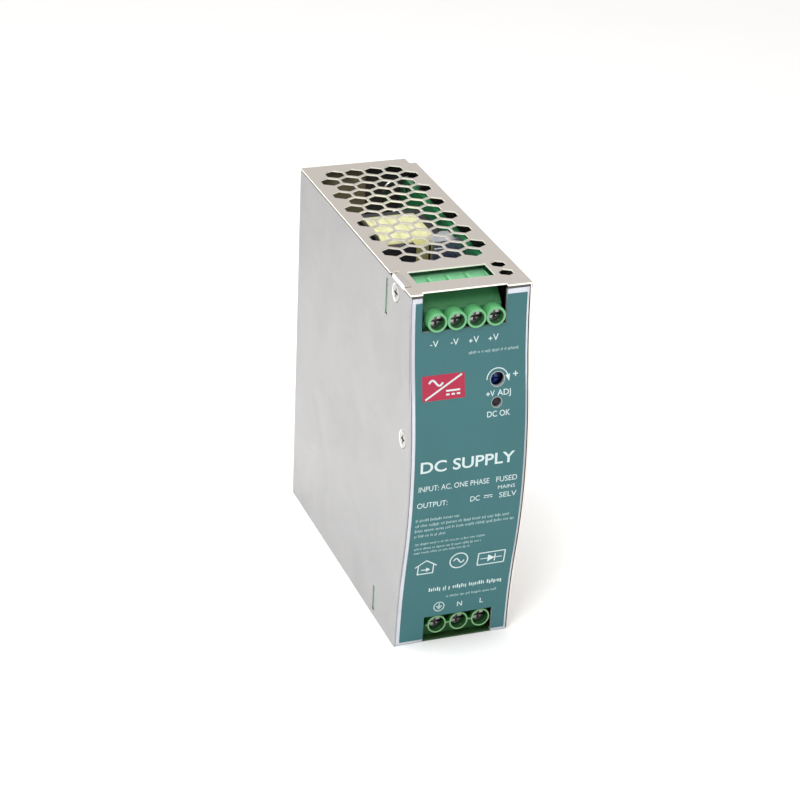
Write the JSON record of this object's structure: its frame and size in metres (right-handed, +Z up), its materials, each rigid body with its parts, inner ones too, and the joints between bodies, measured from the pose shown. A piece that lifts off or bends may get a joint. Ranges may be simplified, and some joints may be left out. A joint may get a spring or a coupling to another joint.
{
  "type": "din rail power supply",
  "caption": "Slim metal-cased power supply that clips onto a mounting rail, with screw terminals, a voltage trimmer and hexagonal vents.",
  "frame": {"origin": "centre of the seat that rests on the rail: middle of the width, on the plane of the rail's flanges, at the rail's centre line", "axes": "+X to the right seen from the front, +Y rearward into the rail (the front faces -Y), +Z up"},
  "size_m": [0.04, 0.1169, 0.1256],
  "materials": {
    "plated_sheet": "satin zinc plate",
    "front_metal": "satin",
    "label_film": "fine matt print",
    "clip_steel": "plated",
    "latch_steel": "plated",
    "spring_steel": "drawn wire",
    "nickel_screws": "nickel plate",
    "circuit_board": "solder mask",
    "insulator_film": "dark fibre film",
    "output_green": "moulded",
    "input_green": "moulded",
    "contact_metal": "tinned",
    "clamp_steel": "zinc plate",
    "trimmer_blue": "moulded",
    "rotor_plastic": "moulded",
    "lamp_lens": "clear tinted",
    "ferrite": "sintered",
    "winding_tape": "polyester tape",
    "bobbin_black": "moulded",
    "can_black": "sleeved can",
    "can_navy": "sleeved can",
    "copper_wire": "enamelled copper",
    "powder_core": "painted",
    "film_yellow": "moulded",
    "disc_blue": "dipped",
    "fuse_glass": "clear",
    "surge_dip": "dipped",
    "sink_aluminium": "mill finish",
    "chip_black": "moulded"
  },
  "bodies": {
    "case": {"chassis": "plated_sheet", "left_cover": "plated_sheet", "front_panel": "front_metal", "front_label": "label_film", "cover_screws": "nickel_screws", "rail_bracket": "clip_steel", "bracket_screws": "nickel_screws", "latch_spring": "spring_steel", "main_board": "circuit_board", "output_board": "circuit_board", "input_board": "circuit_board", "control_board": "circuit_board", "standoffs": "nickel_screws", "board_screws": "nickel_screws", "insulation_sheet": "insulator_film", "output_terminal": "output_green", "output_contacts": "contact_metal", "input_terminal": "input_green", "input_contacts": "contact_metal", "trimmer_body": "trimmer_blue", "indicator_lamp": "lamp_lens", "transformer_core": "ferrite", "transformer_coil": "winding_tape", "transformer_bobbin": "bobbin_black", "bulk_capacitors": "can_black", "output_capacitors": "can_navy", "filter_capacitors": "can_navy", "choke_core": "ferrite", "choke_coils": "copper_wire", "inductor_core": "powder_core", "inductor_winding": "copper_wire", "film_capacitors": "film_yellow", "disc_capacitors": "disc_blue", "line_fuse": "fuse_glass", "surge_discs": "surge_dip", "primary_heatsink": "sink_aluminium", "secondary_heatsink": "sink_aluminium", "power_transistors": "chip_black", "bridge_rectifier": "chip_black", "control_chips": "chip_black"},
    "latch": {"rail_latch": "latch_steel"},
    "trimmer": {"trimmer_rotor": "rotor_plastic"},
    "output_screw_1": {"output_screw_1": "nickel_screws"},
    "output_clamp_1": {"output_clamp_1": "clamp_steel"},
    "output_screw_2": {"output_screw_2": "nickel_screws"},
    "output_clamp_2": {"output_clamp_2": "clamp_steel"},
    "output_screw_3": {"output_screw_3": "nickel_screws"},
    "output_clamp_3": {"output_clamp_3": "clamp_steel"},
    "output_screw_4": {"output_screw_4": "nickel_screws"},
    "output_clamp_4": {"output_clamp_4": "clamp_steel"},
    "input_screw_1": {"input_screw_1": "nickel_screws"},
    "input_clamp_1": {"input_clamp_1": "clamp_steel"},
    "input_screw_2": {"input_screw_2": "nickel_screws"},
    "input_clamp_2": {"input_clamp_2": "clamp_steel"},
    "input_screw_3": {"input_screw_3": "nickel_screws"},
    "input_clamp_3": {"input_clamp_3": "clamp_steel"}
  },
  "joints": [
    {"name": "latch_slide", "type": "slide", "parent": "case", "child": "latch", "axis": [0, 0, -1], "range_m": [0, 0.004], "stiffness_N_per_m": 1500, "springref_m": -0.003, "deforming": ["latch_spring"]},
    {"name": "trimmer_turn", "type": "hinge", "parent": "case", "child": "trimmer", "pos_m": [0.0085, -0.1069, 0.0275], "axis": [0, 1, 0], "range_deg": [-130, 130]},
    {"name": "output_screw_1_turn", "type": "hinge", "parent": "case", "child": "output_screw_1", "pos_m": [-0.0113, -0.1058, 0.0491], "axis": [0, 1, 0], "range_deg": [0, 1728]},
    {"name": "output_clamp_1_lift", "type": "slide", "parent": "case", "child": "output_clamp_1", "axis": [0, -1, 0], "range_m": [0, 0.0024]},
    {"name": "output_screw_2_turn", "type": "hinge", "parent": "case", "child": "output_screw_2", "pos_m": [-0.0049, -0.1058, 0.0491], "axis": [0, 1, 0], "range_deg": [0, 1728]},
    {"name": "output_clamp_2_lift", "type": "slide", "parent": "case", "child": "output_clamp_2", "axis": [0, -1, 0], "range_m": [0, 0.0024]},
    {"name": "output_screw_3_turn", "type": "hinge", "parent": "case", "child": "output_screw_3", "pos_m": [0.0015, -0.1058, 0.0491], "axis": [0, 1, 0], "range_deg": [0, 1728]},
    {"name": "output_clamp_3_lift", "type": "slide", "parent": "case", "child": "output_clamp_3", "axis": [0, -1, 0], "range_m": [0, 0.0024]},
    {"name": "output_screw_4_turn", "type": "hinge", "parent": "case", "child": "output_screw_4", "pos_m": [0.0079, -0.1058, 0.0491], "axis": [0, 1, 0], "range_deg": [0, 1728]},
    {"name": "output_clamp_4_lift", "type": "slide", "parent": "case", "child": "output_clamp_4", "axis": [0, -1, 0], "range_m": [0, 0.0024]},
    {"name": "input_screw_1_turn", "type": "hinge", "parent": "case", "child": "input_screw_1", "pos_m": [-0.00522, -0.104, -0.0606], "axis": [0, 1, 0], "range_deg": [0, 1728]},
    {"name": "input_clamp_1_lift", "type": "slide", "parent": "case", "child": "input_clamp_1", "axis": [0, -1, 0], "range_m": [0, 0.0024]},
    {"name": "input_screw_2_turn", "type": "hinge", "parent": "case", "child": "input_screw_2", "pos_m": [0.0024, -0.104, -0.0606], "axis": [0, 1, 0], "range_deg": [0, 1728]},
    {"name": "input_clamp_2_lift", "type": "slide", "parent": "case", "child": "input_clamp_2", "axis": [0, -1, 0], "range_m": [0, 0.0024]},
    {"name": "input_screw_3_turn", "type": "hinge", "parent": "case", "child": "input_screw_3", "pos_m": [0.01002, -0.104, -0.0606], "axis": [0, 1, 0], "range_deg": [0, 1728]},
    {"name": "input_clamp_3_lift", "type": "slide", "parent": "case", "child": "input_clamp_3", "axis": [0, -1, 0], "range_m": [0, 0.0024]}
  ],
  "couplings": [
    {"joint": "output_screw_1_turn", "follows": "output_clamp_1_lift", "rad_per_m": 12566},
    {"joint": "output_screw_2_turn", "follows": "output_clamp_2_lift", "rad_per_m": 12566},
    {"joint": "output_screw_3_turn", "follows": "output_clamp_3_lift", "rad_per_m": 12566},
    {"joint": "output_screw_4_turn", "follows": "output_clamp_4_lift", "rad_per_m": 12566},
    {"joint": "input_screw_1_turn", "follows": "input_clamp_1_lift", "rad_per_m": 12566},
    {"joint": "input_screw_2_turn", "follows": "input_clamp_2_lift", "rad_per_m": 12566},
    {"joint": "input_screw_3_turn", "follows": "input_clamp_3_lift", "rad_per_m": 12566}
  ]
}
